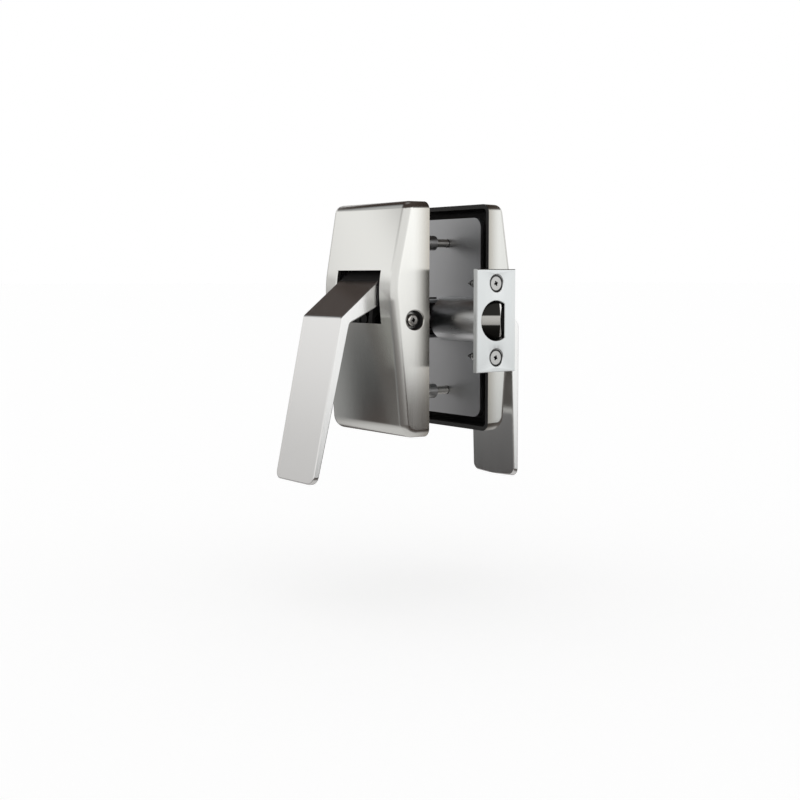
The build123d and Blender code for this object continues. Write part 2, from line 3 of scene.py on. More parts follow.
import bpy
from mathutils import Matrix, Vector


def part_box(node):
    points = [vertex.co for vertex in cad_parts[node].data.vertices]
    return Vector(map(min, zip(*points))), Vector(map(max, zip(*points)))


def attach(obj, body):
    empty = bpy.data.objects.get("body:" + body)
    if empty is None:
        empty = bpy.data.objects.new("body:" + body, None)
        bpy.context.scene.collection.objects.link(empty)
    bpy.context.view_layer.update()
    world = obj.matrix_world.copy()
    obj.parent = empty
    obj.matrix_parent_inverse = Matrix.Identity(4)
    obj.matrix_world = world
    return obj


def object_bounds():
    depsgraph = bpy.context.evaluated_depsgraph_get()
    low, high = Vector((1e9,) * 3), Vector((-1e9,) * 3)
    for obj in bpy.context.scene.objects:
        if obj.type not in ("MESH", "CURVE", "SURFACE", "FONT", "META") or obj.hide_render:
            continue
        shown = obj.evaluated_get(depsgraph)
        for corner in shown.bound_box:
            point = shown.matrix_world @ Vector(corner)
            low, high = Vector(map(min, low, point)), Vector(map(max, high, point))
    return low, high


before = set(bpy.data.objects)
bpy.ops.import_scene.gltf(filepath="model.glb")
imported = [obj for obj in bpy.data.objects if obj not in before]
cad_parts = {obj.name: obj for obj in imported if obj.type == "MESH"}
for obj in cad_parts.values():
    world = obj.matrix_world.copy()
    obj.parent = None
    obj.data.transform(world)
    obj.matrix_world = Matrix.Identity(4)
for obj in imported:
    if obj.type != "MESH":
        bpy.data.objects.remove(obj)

cad_low, cad_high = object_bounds()

# Mounting plates and chassis. Each plate lies on a face of the door under its cover, with ears
# folded out for the hinge pin; the chassis is a bent channel between the two.
# All three are pressed from sheet steel and zinc plated, so they are dull, pale and a little mottled.
plate_sheet_colour = (0.50, 0.51, 0.52)
plate_sheet_roughness = 0.38
roughness_spread = 0.3
mark_strength = 0.35
crease_degrees = 28
joining_distance = 0.000002
large_face_share = 90


def worked_metal(name, colour, roughness, grain, grain_depth, cloud=18.0, contrast=0.06):
    """Bare or plated metal: fine marks stretched along its grain, and soft clouds of dullness."""
    metal = bpy.data.materials.new(name)
    metal.use_nodes = True
    nodes = metal.node_tree.nodes
    links = metal.node_tree.links
    shader = nodes["Principled BSDF"]
    shader.inputs["Metallic"].default_value = 1.0
    place = nodes.new("ShaderNodeTexCoord")
    stretch = nodes.new("ShaderNodeMapping")
    stretch.inputs["Scale"].default_value = grain
    links.new(place.outputs["Object"], stretch.inputs["Vector"])
    marks = nodes.new("ShaderNodeTexNoise")
    marks.inputs["Scale"].default_value = 1.0
    marks.inputs["Detail"].default_value = 4.0
    links.new(stretch.outputs["Vector"], marks.inputs["Vector"])
    clouds = nodes.new("ShaderNodeTexNoise")
    clouds.inputs["Scale"].default_value = cloud
    clouds.inputs["Detail"].default_value = 3.0
    links.new(place.outputs["Object"], clouds.inputs["Vector"])
    both = nodes.new("ShaderNodeMath")
    both.operation = "ADD"
    links.new(marks.outputs["Fac"], both.inputs[0])
    links.new(clouds.outputs["Fac"], both.inputs[1])
    dull = nodes.new("ShaderNodeMapRange")
    dull.inputs["From Max"].default_value = 2.0
    dull.inputs["To Min"].default_value = roughness * (1 - roughness_spread)
    dull.inputs["To Max"].default_value = roughness * (1 + roughness_spread)
    links.new(both.outputs["Value"], dull.inputs["Value"])
    links.new(dull.outputs["Result"], shader.inputs["Roughness"])
    share = nodes.new("ShaderNodeMath")
    share.operation = "MULTIPLY"
    share.inputs[1].default_value = 0.5
    links.new(both.outputs["Value"], share.inputs[0])
    tone = nodes.new("ShaderNodeValToRGB")
    tone.color_ramp.elements[0].color = (*[part * (1 - contrast) for part in colour], 1)
    tone.color_ramp.elements[1].color = (*[min(1.0, part * (1 + contrast)) for part in colour], 1)
    links.new(share.outputs["Value"], tone.inputs["Fac"])
    links.new(tone.outputs["Color"], shader.inputs["Base Color"])
    bump = nodes.new("ShaderNodeBump")
    bump.inputs["Strength"].default_value = mark_strength
    bump.inputs["Distance"].default_value = grain_depth
    links.new(marks.outputs["Fac"], bump.inputs["Height"])
    links.new(bump.outputs["Normal"], shader.inputs["Normal"])
    return metal


def even_shading():
    """A tree that joins loose triangles and shades curved faces smoothly, up to their creases."""
    tree = bpy.data.node_groups.new("even_shading", "GeometryNodeTree")
    tree.interface.new_socket("Geometry", in_out="INPUT", socket_type="NodeSocketGeometry")
    crease = tree.interface.new_socket("Crease", in_out="INPUT", socket_type="NodeSocketFloat")
    crease.default_value = math.radians(crease_degrees)
    tree.interface.new_socket("Geometry", in_out="OUTPUT", socket_type="NodeSocketGeometry")
    nodes = tree.nodes
    links = tree.links
    entry = nodes.new("NodeGroupInput")
    merge = nodes.new("GeometryNodeMergeByDistance")
    merge.inputs["Distance"].default_value = joining_distance
    soft = nodes.new("GeometryNodeSetShadeSmooth")
    angle = nodes.new("GeometryNodeInputMeshEdgeAngle")
    compare = nodes.new("FunctionNodeCompare")
    compare.operation = "GREATER_THAN"
    sharp = nodes.new("GeometryNodeSetShadeSmooth")
    sharp.domain = "EDGE"
    sharp.inputs["Shade Smooth"].default_value = False
    leave = nodes.new("NodeGroupOutput")
    links.new(entry.outputs["Geometry"], merge.inputs["Geometry"])
    links.new(merge.outputs["Geometry"], soft.inputs["Geometry"])
    links.new(soft.outputs["Geometry"], sharp.inputs["Geometry"])
    links.new(angle.outputs["Unsigned Angle"], compare.inputs["A"])
    links.new(entry.outputs["Crease"], compare.inputs["B"])
    links.new(compare.outputs["Result"], sharp.inputs["Selection"])
    links.new(sharp.outputs["Geometry"], leave.inputs["Geometry"])
    return tree


shading_tree = even_shading()


def dress(names, metal):
    """Gives solids of the frame their metal and their even shading."""
    for name in names:
        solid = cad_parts[name]
        solid.data.materials.clear()
        solid.data.materials.append(metal)
        solid.modifiers.new("even_shading", "NODES").node_group = shading_tree
        weigh = solid.modifiers.new("even_normals", "WEIGHTED_NORMAL")
        weigh.keep_sharp = True
        weigh.weight = large_face_share


zinc_plate = worked_metal(
    "zinc_plate", plate_sheet_colour, roughness=plate_sheet_roughness, grain=(60, 60, 60),
    grain_depth=0.00001, cloud=45.0, contrast=0.12)
dress(["pull_mounting_plate", "push_mounting_plate", "chassis_frame"], zinc_plate)

# Threaded posts and through bolts. The posts are turned from bar and riveted into the pull-side plate.
# The bolts are rolled machine screws that come through the push-side plate and draw both to the door.
post_colour = (0.55, 0.55, 0.54)
through_bolt_colour = (0.56, 0.55, 0.52)
bolt_shank_radius = 0.0024
bolt_thread_ridge = 0.00016
bolt_pitch = 0.0008
bolt_thread_gap = 0.0003
thread_steps = 20
ridge_corners = 4
post_steel = worked_metal(
    "post_steel", post_colour, roughness=0.3, grain=(40, 3000, 40), grain_depth=0.000012, cloud=30.0)
dress(["threaded_post_upper", "threaded_post_lower"], post_steel)
fixing_steel = worked_metal(
    "fixing_steel", through_bolt_colour, roughness=0.26, grain=(300, 300, 300), grain_depth=0.000008,
    cloud=60.0)
dress(["through_bolt_upper", "through_bolt_lower"], fixing_steel)


def rolled_thread(name):
    """A tree that winds one ridge round a shank that runs up from the origin."""
    tree = bpy.data.node_groups.new(name, "GeometryNodeTree")
    tree.interface.new_socket("Geometry", in_out="INPUT", socket_type="NodeSocketGeometry")
    for size in ("Start Radius", "End Radius", "Length", "Turns", "Ridge"):
        tree.interface.new_socket(size, in_out="INPUT", socket_type="NodeSocketFloat")
    tree.interface.new_socket("Metal", in_out="INPUT", socket_type="NodeSocketMaterial")
    tree.interface.new_socket("Geometry", in_out="OUTPUT", socket_type="NodeSocketGeometry")
    nodes = tree.nodes
    links = tree.links
    entry = nodes.new("NodeGroupInput")
    winding = nodes.new("GeometryNodeCurveSpiral")
    winding.inputs["Resolution"].default_value = thread_steps
    links.new(entry.outputs["Turns"], winding.inputs["Rotations"])
    links.new(entry.outputs["Start Radius"], winding.inputs["Start Radius"])
    links.new(entry.outputs["End Radius"], winding.inputs["End Radius"])
    links.new(entry.outputs["Length"], winding.inputs["Height"])
    upright = nodes.new("GeometryNodeSetCurveNormal")
    upright.mode = "Z_UP"
    links.new(winding.outputs["Curve"], upright.inputs["Curve"])
    ridge = nodes.new("GeometryNodeCurvePrimitiveCircle")
    ridge.inputs["Resolution"].default_value = ridge_corners
    links.new(entry.outputs["Ridge"], ridge.inputs["Radius"])
    rolled = nodes.new("GeometryNodeCurveToMesh")
    rolled.inputs["Fill Caps"].default_value = True
    links.new(upright.outputs["Curve"], rolled.inputs["Curve"])
    links.new(ridge.outputs["Curve"], rolled.inputs["Profile Curve"])
    real = nodes.new("GeometryNodeRealizeInstances")
    links.new(rolled.outputs["Mesh"], real.inputs["Geometry"])
    finish = nodes.new("GeometryNodeSetMaterial")
    links.new(real.outputs["Geometry"], finish.inputs["Geometry"])
    links.new(entry.outputs["Metal"], finish.inputs["Material"])
    leave = nodes.new("NodeGroupOutput")
    links.new(finish.outputs["Geometry"], leave.inputs["Geometry"])
    return tree


def wind_thread(name, tree, sizes, metal, starts, turn):
    """Bakes one thread, then sets a copy of it on each shank, as one plain mesh."""
    holder = bpy.data.objects.new(name, bpy.data.meshes.new(name))
    bpy.context.scene.collection.objects.link(holder)
    modifier = holder.modifiers.new(name, "NODES")
    modifier.node_group = tree
    settings = {**sizes, "Metal": metal}
    for item in tree.interface.items_tree:
        if item.item_type == "SOCKET" and item.in_out == "INPUT" and item.name in settings:
            modifier[item.identifier] = settings[item.name]
    depsgraph = bpy.context.evaluated_depsgraph_get()
    ridge = bpy.data.meshes.new_from_object(holder.evaluated_get(depsgraph))
    holder.modifiers.remove(modifier)
    corners = []
    faces = []
    for start in starts:
        first = len(corners)
        corners += [turn @ vertex.co + Vector(start) for vertex in ridge.vertices]
        faces += [[first + index for index in face.vertices] for face in ridge.polygons]
    bpy.data.meshes.remove(ridge)
    holder.data.from_pydata(corners, [], faces)
    holder.data.materials.append(metal)
    holder.data.shade_smooth()
    return holder


post_low, post_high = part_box("threaded_post_upper")
push_plate_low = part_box("push_mounting_plate")[0]
bolt_bare = push_plate_low[1] - post_high[1] - 2 * bolt_thread_gap
bolt_height = (post_low[2] + post_high[2]) / 2
thread_tree = rolled_thread("rolled_thread")
along_door = Vector((0, 0, 1)).rotation_difference(Vector((0, 1, 0)))
bolt_threads = wind_thread(
    "through_bolt_threads",
    thread_tree,
    {
        "Start Radius": bolt_shank_radius,
        "End Radius": bolt_shank_radius,
        "Length": bolt_bare,
        "Turns": bolt_bare / bolt_pitch,
        "Ridge": bolt_thread_ridge,
    },
    fixing_steel,
    [(0, post_high[1] + bolt_thread_gap, level * bolt_height) for level in (1, -1)],
    along_door)
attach(bolt_threads, "door_set")

# Actuator rod, its pins and the rocker. The rod is ground steel and the pins are blackened; the
# rocker is folded from plate and swings on two studs riveted into the chassis.
rod_colour = (0.60, 0.60, 0.60)
rod_end_painted_shade = (0.012, 0.012, 0.012)
rod_end_length = 0.006
rod_end_fade = 0.001
pin_colour = (0.05, 0.05, 0.05)
door_middle = 0.022225
rod_steel = worked_metal(
    "rod_steel", rod_colour, roughness=0.18, grain=(60, 4000, 60), grain_depth=0.000006, cloud=30.0)
pin_steel = worked_metal(
    "pin_steel", pin_colour, roughness=0.4, grain=(4000, 60, 60), grain_depth=0.000006, cloud=30.0)


def paint_over(metal, mask, colour):
    """Mixes another colour into the metal wherever the mask is one."""
    nodes = metal.node_tree.nodes
    links = metal.node_tree.links
    shader = nodes["Principled BSDF"]
    under = shader.inputs["Base Color"].links[0].from_socket
    over = nodes.new("ShaderNodeMixRGB")
    over.inputs["Color2"].default_value = (*colour, 1)
    links.new(mask, over.inputs["Fac"])
    links.new(under, over.inputs["Color1"])
    links.new(over.outputs["Color"], shader.inputs["Base Color"])


def between(metal, value, start, end):
    """A mask that runs smoothly from nought at the start to one at the end."""
    ramp = metal.node_tree.nodes.new("ShaderNodeMapRange")
    ramp.interpolation_type = "SMOOTHSTEP"
    ramp.inputs["From Min"].default_value = start
    ramp.inputs["From Max"].default_value = end
    metal.node_tree.links.new(value, ramp.inputs["Value"])
    return ramp.outputs["Result"]


def combined(metal, operation, first, second=None):
    """One sum of one or two values or masks; the second may be a plain number."""
    sum_node = metal.node_tree.nodes.new("ShaderNodeMath")
    sum_node.operation = operation
    metal.node_tree.links.new(first, sum_node.inputs[0])
    if isinstance(second, float):
        sum_node.inputs[1].default_value = second
    elif second is not None:
        metal.node_tree.links.new(second, sum_node.inputs[1])
    return sum_node.outputs["Value"]


def place_in_latch(metal):
    """Distances from the latch's three middle planes, and the place along Y as it is."""
    nodes = metal.node_tree.nodes
    links = metal.node_tree.links
    place = nodes.new("ShaderNodeTexCoord")
    split = nodes.new("ShaderNodeSeparateXYZ")
    links.new(place.outputs["Object"], split.inputs["Vector"])
    into = combined(metal, "SUBTRACT", split.outputs["Y"], door_middle)
    return {
        "out": combined(metal, "ABSOLUTE", split.outputs["X"]),
        "aside": combined(metal, "ABSOLUTE", into),
        "above": combined(metal, "ABSOLUTE", split.outputs["Z"]),
        "along": split.outputs["Y"],
    }


rod_low, rod_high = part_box("actuator_rod")
# The last few millimetres at each end of the rod, inside the covers, are painted near black: painted
# shade.
rod_end_start = (rod_high[1] - rod_low[1]) / 2 - rod_end_length
rod_end_shade_mask = between(
    rod_steel, place_in_latch(rod_steel)["aside"], rod_end_start - rod_end_fade, rod_end_start)
paint_over(rod_steel, rod_end_shade_mask, rod_end_painted_shade)
dress(["actuator_rod", "rod_cross_pin"], rod_steel)
dress(["rod_end_pin_pull", "rod_end_pin_push", "rocker_stud_upper", "rocker_stud_lower"], pin_steel)
dress(["rocker"], zinc_plate)

# Guide bushes. Pressed from oiled bronze powder, one in each mounting plate, so that the rod
# slides without grease. Their skin is dull brown gold with fine pits.
bush_colour = (0.42, 0.28, 0.14)
bush_bronze = worked_metal(
    "bush_bronze", bush_colour, roughness=0.42, grain=(900, 900, 900), grain_depth=0.00002, cloud=90.0,
    contrast=0.15)
dress(["pull_guide_bush", "push_guide_bush"], bush_bronze)

# Latch tube with its end bush, spring and tailpiece. The tube is drawn thin and plated; the
# tailpiece is folded and riveted to the bolt; the spring is drawn wire, nearly black with oil.
tube_colour = (0.55, 0.56, 0.57)
wire_colour = (0.18, 0.18, 0.19)
tube_steel = worked_metal(
    "tube_steel", tube_colour, roughness=0.3, grain=(60, 900, 900), grain_depth=0.000001, cloud=12.0,
    contrast=0.03)
spring_wire = worked_metal(
    "spring_wire", wire_colour, roughness=0.3, grain=(500, 500, 500), grain_depth=0.000005, cloud=40.0)
dress(["latch_tube", "tube_end_bush"], tube_steel)
dress(["tailpiece", "tailpiece_rivet"], zinc_plate)
dress(["bolt_spring"], spring_wire)

# Latch bolt. Cast and blackened, with one slope ground slightly round. A bright level band across
# the middle of the slope is a painted highlight, and so is the bright line on the tip's edge.
bolt_black = (0.024, 0.024, 0.022)
bolt_painted_highlight = (0.5, 0.5, 0.475)
bolt_tip_painted_highlight = (0.92, 0.92, 0.9)
bolt_tip_start = 0.0273
bolt_tip_depth = 0.0012
bolt_tip_edge = 0.0001
highlight_half_height = 0.0026
highlight_fade = 0.0004
bolt_metal = worked_metal(
    "blackened_bolt", bolt_black, roughness=0.2, grain=(200, 200, 3000), grain_depth=0.000008,
    cloud=60.0)
bolt_place = place_in_latch(bolt_metal)
# A level band across the middle of the slope is painted light: a painted highlight.
painted_highlight_band = between(
    bolt_metal, bolt_place["above"], highlight_half_height + highlight_fade, highlight_half_height - highlight_fade)
paint_over(bolt_metal, painted_highlight_band, bolt_painted_highlight)
# A thin bright line along the edge of the bolt's tip is a painted highlight.
bolt_tip_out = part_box("latch_bolt")[1][0] - bolt_tip_depth
bolt_tip = combined(
    bolt_metal, "MULTIPLY",
    between(bolt_metal, bolt_place["along"], bolt_tip_start, bolt_tip_start + bolt_tip_edge),
    between(bolt_metal, bolt_place["out"], bolt_tip_out, bolt_tip_out + bolt_tip_edge))
paint_over(bolt_metal, bolt_tip, bolt_tip_painted_highlight)
dress(["latch_bolt"], bolt_metal)

# Faceplate and its two wood screws. The plate is stamped stainless steel, brushed along its
# length; the screws are cold headed, with a cross recess, and lie a little below its front.
faceplate_colour = (0.675, 0.70, 0.70)
hole_wall_painted_shade = (0.02, 0.02, 0.02)
plate_skin = 0.0004
skin_fade = 0.0002
wood_screw_colour = (0.44, 0.44, 0.43)
head_rim_painted_shade = (0.03, 0.03, 0.03)
head_rim = (0.0036, 0.0040)
head_recess_painted_shade = (0.01, 0.01, 0.01)
head_recess_radius = 0.0019
head_recess_depth = 0.0003
wood_shank_radius = 0.0021
wood_thread_ridge = 0.00038
wood_pitch = 0.0021
wood_point = 0.005
wood_tip = 0.0006
wood_tip_radius = 0.0004
wood_tip_ridge = 0.00026
wood_bare_neck = 0.002
faceplate_steel = worked_metal(
    "faceplate_steel", faceplate_colour, roughness=0.3, grain=(800, 800, 20), grain_depth=0.000006,
    cloud=25.0, contrast=0.04)


def brush_upright(metal, strength):
    """Draws the reflections out sideways, as brushing up and down does."""
    nodes = metal.node_tree.nodes
    links = metal.node_tree.links
    surface = nodes.new("ShaderNodeNewGeometry")
    across = nodes.new("ShaderNodeVectorMath")
    across.operation = "CROSS_PRODUCT"
    across.inputs[0].default_value = (0, 0, 1)
    links.new(surface.outputs["Normal"], across.inputs[1])
    shader = nodes["Principled BSDF"]
    shader.inputs["Anisotropic"].default_value = strength
    links.new(across.outputs["Vector"], shader.inputs["Tangent"])


def from_axis(metal, place, axis_aside, axis_above):
    """The distance from an axis that runs along X."""
    nodes = metal.node_tree.nodes
    links = metal.node_tree.links
    join = nodes.new("ShaderNodeCombineXYZ")
    links.new(combined(metal, "SUBTRACT", place["aside"], axis_aside), join.inputs["Y"])
    links.new(combined(metal, "SUBTRACT", place["above"], axis_above), join.inputs["Z"])
    length = nodes.new("ShaderNodeVectorMath")
    length.operation = "LENGTH"
    links.new(join.outputs["Vector"], length.inputs[0])
    return length.outputs["Value"]


brush_upright(faceplate_steel, 0.6)
plate_low, plate_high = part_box("latch_faceplate")
plate_place = place_in_latch(faceplate_steel)
# Behind the front skin and inside the outer edges, the walls of the plate's holes and its back are
# painted near black: painted shade.
inner_limits = (
    (plate_place["out"], plate_high[0] - plate_skin + skin_fade),
    (plate_place["aside"], (plate_high[1] - plate_low[1]) / 2 - plate_skin),
    (plate_place["above"], plate_high[2] - plate_skin),
)
depth_mask, side_mask, end_mask = [
    between(faceplate_steel, distance, limit, limit - skin_fade) for distance, limit in inner_limits]
hole_wall_shade_mask = combined(faceplate_steel, "MULTIPLY", side_mask, end_mask)
hole_wall_shade_mask = combined(faceplate_steel, "MULTIPLY", depth_mask, hole_wall_shade_mask)
paint_over(faceplate_steel, hole_wall_shade_mask, hole_wall_painted_shade)
dress(["latch_faceplate"], faceplate_steel)

wood_screw_steel = worked_metal(
    "wood_screw_steel", wood_screw_colour, roughness=0.22, grain=(500, 500, 500), grain_depth=0.00001,
    cloud=120.0, contrast=0.2)
screw_low, screw_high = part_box("faceplate_screw_upper")
screw_height = (screw_low[2] + screw_high[2]) / 2
screw_place = place_in_latch(wood_screw_steel)
screw_round = from_axis(wood_screw_steel, screw_place, 0.0, screw_height)
# The outer rim of each head is painted near black: painted shade in the gap to its countersink.
paint_over(
    wood_screw_steel,
    between(wood_screw_steel, screw_round, *head_rim),
    head_rim_painted_shade)
# The cross recess of each head is painted near black: painted shade.
head_floor = screw_high[0] - head_recess_depth
head_sunk = between(wood_screw_steel, screw_place["out"], head_floor + skin_fade, head_floor)
head_cross = between(
    wood_screw_steel, screw_round, head_recess_radius + skin_fade, head_recess_radius)
paint_over(
    wood_screw_steel,
    combined(wood_screw_steel, "MULTIPLY", head_sunk, head_cross),
    head_recess_painted_shade)
dress(["faceplate_screw_upper", "faceplate_screw_lower"], wood_screw_steel)

wood_thread_length = plate_low[0] - wood_bare_neck - screw_low[0] - wood_point
screw_middle = (screw_low[1] + screw_high[1]) / 2
along_screw = Vector((0, 0, 1)).rotation_difference(Vector((1, 0, 0)))
thread_parts = (
    ("faceplate_screw_point_threads", wood_tip_radius, wood_point - wood_tip,
     screw_low[0] + wood_tip, wood_tip_ridge),
    ("faceplate_screw_threads", wood_shank_radius, wood_thread_length,
     screw_low[0] + wood_point, wood_thread_ridge),
)
for name, start_radius, length, start, ridge in thread_parts:
    threads = wind_thread(
        name,
        thread_tree,
        {
            "Start Radius": start_radius,
            "End Radius": wood_shank_radius,
            "Length": length,
            "Turns": length / wood_pitch,
            "Ridge": ridge,
        },
        wood_screw_steel,
        [(start, screw_middle, level * screw_height) for level in (1, -1)],
        along_screw)
    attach(threads, "door_set")

# Paddles. Each is one casting: arm, blade, hub and the fork behind the hub. What shows is brushed
# satin with crisp edges; what the cover hides is painted near black with a fine grit: painted shade.
paddle_colour = (0.755, 0.758, 0.75)
brushed_from_middle = 0.0440
brushed_fade = 0.0004
hidden_painted_shade = (0.035, 0.034, 0.033)
cast_roughness = 0.6
cast_metallic = 0.4
cast_grit = 1600.0
cast_grit_depth = 0.00004
paddle_metal = worked_metal(
    "satin_paddle", paddle_colour, roughness=0.2, grain=(900, 900, 24), grain_depth=0.000008,
    cloud=14.0, contrast=0.03)
brush_upright(paddle_metal, 0.8)


def paint_shade_where_hidden(metal, hidden):
    """Covers the brushed finish with a near black, gritty surface, painted shade, wherever the hidden
    mask is one.
    """
    nodes = metal.node_tree.nodes
    links = metal.node_tree.links
    cast = nodes.new("ShaderNodeBsdfPrincipled")
    cast.inputs["Base Color"].default_value = (*hidden_painted_shade, 1)
    cast.inputs["Roughness"].default_value = cast_roughness
    cast.inputs["Metallic"].default_value = cast_metallic
    grit = nodes.new("ShaderNodeTexNoise")
    grit.inputs["Scale"].default_value = cast_grit
    place = nodes.new("ShaderNodeTexCoord")
    links.new(place.outputs["Object"], grit.inputs["Vector"])
    bump = nodes.new("ShaderNodeBump")
    bump.inputs["Distance"].default_value = cast_grit_depth
    links.new(grit.outputs["Fac"], bump.inputs["Height"])
    links.new(bump.outputs["Normal"], cast.inputs["Normal"])
    over = nodes.new("ShaderNodeMixShader")
    links.new(hidden, over.inputs["Fac"])
    links.new(nodes["Principled BSDF"].outputs["BSDF"], over.inputs[1])
    links.new(cast.outputs["BSDF"], over.inputs[2])
    links.new(over.outputs["Shader"], nodes["Material Output"].inputs["Surface"])


# What the cover hides of each paddle is painted near black: painted shade.
paint_shade_where_hidden(
    paddle_metal,
    between(
        paddle_metal, place_in_latch(paddle_metal)["aside"],
        brushed_from_middle + brushed_fade, brushed_from_middle - brushed_fade))
dress(["pull_paddle", "push_paddle"], paddle_metal)

# Hinge pins and their clips. Each paddle turns on a headed steel pin through both ears, and a
# spring-steel clip in a groove keeps the pin from working out.
hinge_colour = (0.16, 0.155, 0.15)
hinge_steel = worked_metal(
    "hinge_steel", hinge_colour, roughness=0.3, grain=(4000, 60, 60), grain_depth=0.000006, cloud=30.0)
dress(["pull_hinge_pin", "push_hinge_pin"], hinge_steel)
dress(["pull_pin_clip", "push_pin_clip"], spring_wire)

# Covers. Each is a zinc casting plated and brushed to a satin, bent to a ridge across its front,
# with its edges rolled by the polishing belt. It hides the plate and stands on the door.
cover_colour = (0.71, 0.716, 0.69)
cover_crown = 2.0
rim_shade_colour = (0.36, 0.34, 0.30)
rim_shade_start = 0.011
rim_shade_end = -0.003
hollow_start = -0.004
hollow_end = -0.006
recess_shade_inner = (0.0046, 0.0048)
recess_shade_outer = (0.0054, 0.0053)
recess_shade_out = (0.028, 0.029)
cover_metal = worked_metal(
    "satin_cover", cover_colour, roughness=0.155, grain=(900, 900, 24), grain_depth=0.000008,
    cloud=14.0, contrast=0.04)
brush_upright(cover_metal, 0.94)
cover_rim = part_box("pull_cover")[1][1]
cover_screw_low, cover_screw_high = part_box("pull_cover_screw_right")


def inside_the_shell(metal):
    """A mask that is one where the surface faces the middle of the door, as the hollow's walls do."""
    nodes = metal.node_tree.nodes
    links = metal.node_tree.links
    place = nodes.new("ShaderNodeTexCoord")
    away = nodes.new("ShaderNodeVectorMath")
    away.operation = "SUBTRACT"
    away.inputs[1].default_value = (0, door_middle, 0)
    links.new(place.outputs["Object"], away.inputs[0])
    facing = nodes.new("ShaderNodeVectorMath")
    facing.operation = "DOT_PRODUCT"
    links.new(place.outputs["Normal"], facing.inputs[0])
    links.new(away.outputs["Vector"], facing.inputs[1])
    hidden = nodes.new("ShaderNodeMapRange")
    hidden.inputs["From Min"].default_value = hollow_start
    hidden.inputs["From Max"].default_value = hollow_end
    links.new(facing.outputs["Value"], hidden.inputs["Value"])
    return hidden.outputs["Result"]


def crown_across(metal, amount):
    """Leans the light over each cover as if its faces were ground slightly round across."""
    nodes = metal.node_tree.nodes
    links = metal.node_tree.links
    place = nodes.new("ShaderNodeTexCoord")
    split = nodes.new("ShaderNodeSeparateXYZ")
    links.new(place.outputs["Object"], split.inputs["Vector"])
    squared = combined(metal, "MULTIPLY", split.outputs["X"], split.outputs["X"])
    crown = nodes.new("ShaderNodeBump")
    crown.inputs["Distance"].default_value = 1.0
    links.new(combined(metal, "MULTIPLY", squared, -amount), crown.inputs["Height"])
    grain = nodes["Principled BSDF"].inputs["Normal"].links[0].from_node
    links.new(crown.outputs["Normal"], grain.inputs["Normal"])


crown_across(cover_metal, cover_crown)
cover_place = place_in_latch(cover_metal)
rim_aside = door_middle - cover_rim
rim_shade = between(
    cover_metal, cover_place["aside"], rim_aside + rim_shade_start, rim_aside + rim_shade_end)
paint_over(cover_metal, rim_shade, rim_shade_colour)
cover_screw_aside = door_middle - (cover_screw_low[1] + cover_screw_high[1]) / 2
# A ring on the floor of each screw recess, round the head, is painted near black: painted shade.
recess_round = from_axis(cover_metal, cover_place, cover_screw_aside, 0.0)
recess_ring = combined(
    cover_metal, "MULTIPLY",
    between(cover_metal, recess_round, *recess_shade_inner),
    between(cover_metal, recess_round, *recess_shade_outer))
recess_ring = combined(
    cover_metal, "MULTIPLY", recess_ring,
    between(cover_metal, cover_place["out"], *recess_shade_out))
# The walls of the cover's hollow are painted near black too: painted shade.
paint_shade_where_hidden(cover_metal, combined(cover_metal, "MAXIMUM", inside_the_shell(cover_metal), recess_ring))
dress(["pull_cover", "push_cover"], cover_metal)

# Cover screws. Pan heads with a cross recess, bright plated, one sunk in each side of a cover.
# Each is turned into a flange of the mounting plate behind it, and so holds the cover to the door.
cover_screw_colour = (0.74, 0.72, 0.68)
cross_painted_shade = (0.015, 0.014, 0.013)
cross_radius = 0.0023
cross_fade = 0.0002
cross_start = 0.00008
cover_screw_steel = worked_metal(
    "cover_screw_steel", cover_screw_colour, roughness=0.2, grain=(500, 500, 500),
    grain_depth=0.000008, cloud=120.0)
head_place = place_in_latch(cover_screw_steel)
head_round = from_axis(cover_screw_steel, head_place, cover_screw_aside, 0.0)
# The cross recess in each head is painted near black: painted shade.
cross_top = cover_screw_high[0] - cross_start
cross_recess_shade = combined(
    cover_screw_steel, "MULTIPLY",
    between(cover_screw_steel, head_place["out"], cross_top, cross_top - cross_start),
    between(cover_screw_steel, head_round, cross_radius + cross_fade, cross_radius))
paint_over(cover_screw_steel, cross_recess_shade, cross_painted_shade)
dress(
    [f"{side}_cover_screw_{hand}" for side in ("pull", "push") for hand in ("right", "left")],
    cover_screw_steel)

# Floor. A wide matt sheet well below the latch, so that the latch lays only a soft shade on it.
# The camera sees it lit up to white, and the metal doesn't mirror it.
floor_drop = 0.062
floor_half = 30.0
floor_lit = 0.62
floor_white = 0.9


def lay_floor():
    """The floor sheet, with the share of white that only the camera sees added to its own light."""
    level = cad_low[2] - floor_drop
    sheet = bpy.data.meshes.new("floor")
    corners = [(x * floor_half, y * floor_half, level) for x, y in ((-1, -1), (1, -1), (1, 1), (-1, 1))]
    sheet.from_pydata(corners, [], [(0, 1, 2, 3)])
    floor = bpy.data.objects.new("floor", sheet)
    bpy.context.scene.collection.objects.link(floor)
    paint = bpy.data.materials.new("floor_paint")
    paint.use_nodes = True
    nodes = paint.node_tree.nodes
    links = paint.node_tree.links
    nodes.clear()
    matt = nodes.new("ShaderNodeBsdfDiffuse")
    matt.inputs["Color"].default_value = (floor_white, floor_white, floor_white, 1)
    path = nodes.new("ShaderNodeLightPath")
    glow = nodes.new("ShaderNodeEmission")
    share = nodes.new("ShaderNodeMath")
    share.operation = "MULTIPLY"
    share.inputs[1].default_value = 1.0 - floor_lit
    links.new(path.outputs["Is Camera Ray"], share.inputs[0])
    links.new(share.outputs["Value"], glow.inputs["Strength"])
    both = nodes.new("ShaderNodeAddShader")
    links.new(matt.outputs["BSDF"], both.inputs[0])
    links.new(glow.outputs["Emission"], both.inputs[1])
    leave = nodes.new("ShaderNodeOutputMaterial")
    links.new(both.outputs["Shader"], leave.inputs["Surface"])
    sheet.materials.append(paint)
    floor.visible_glossy = False


lay_floor()

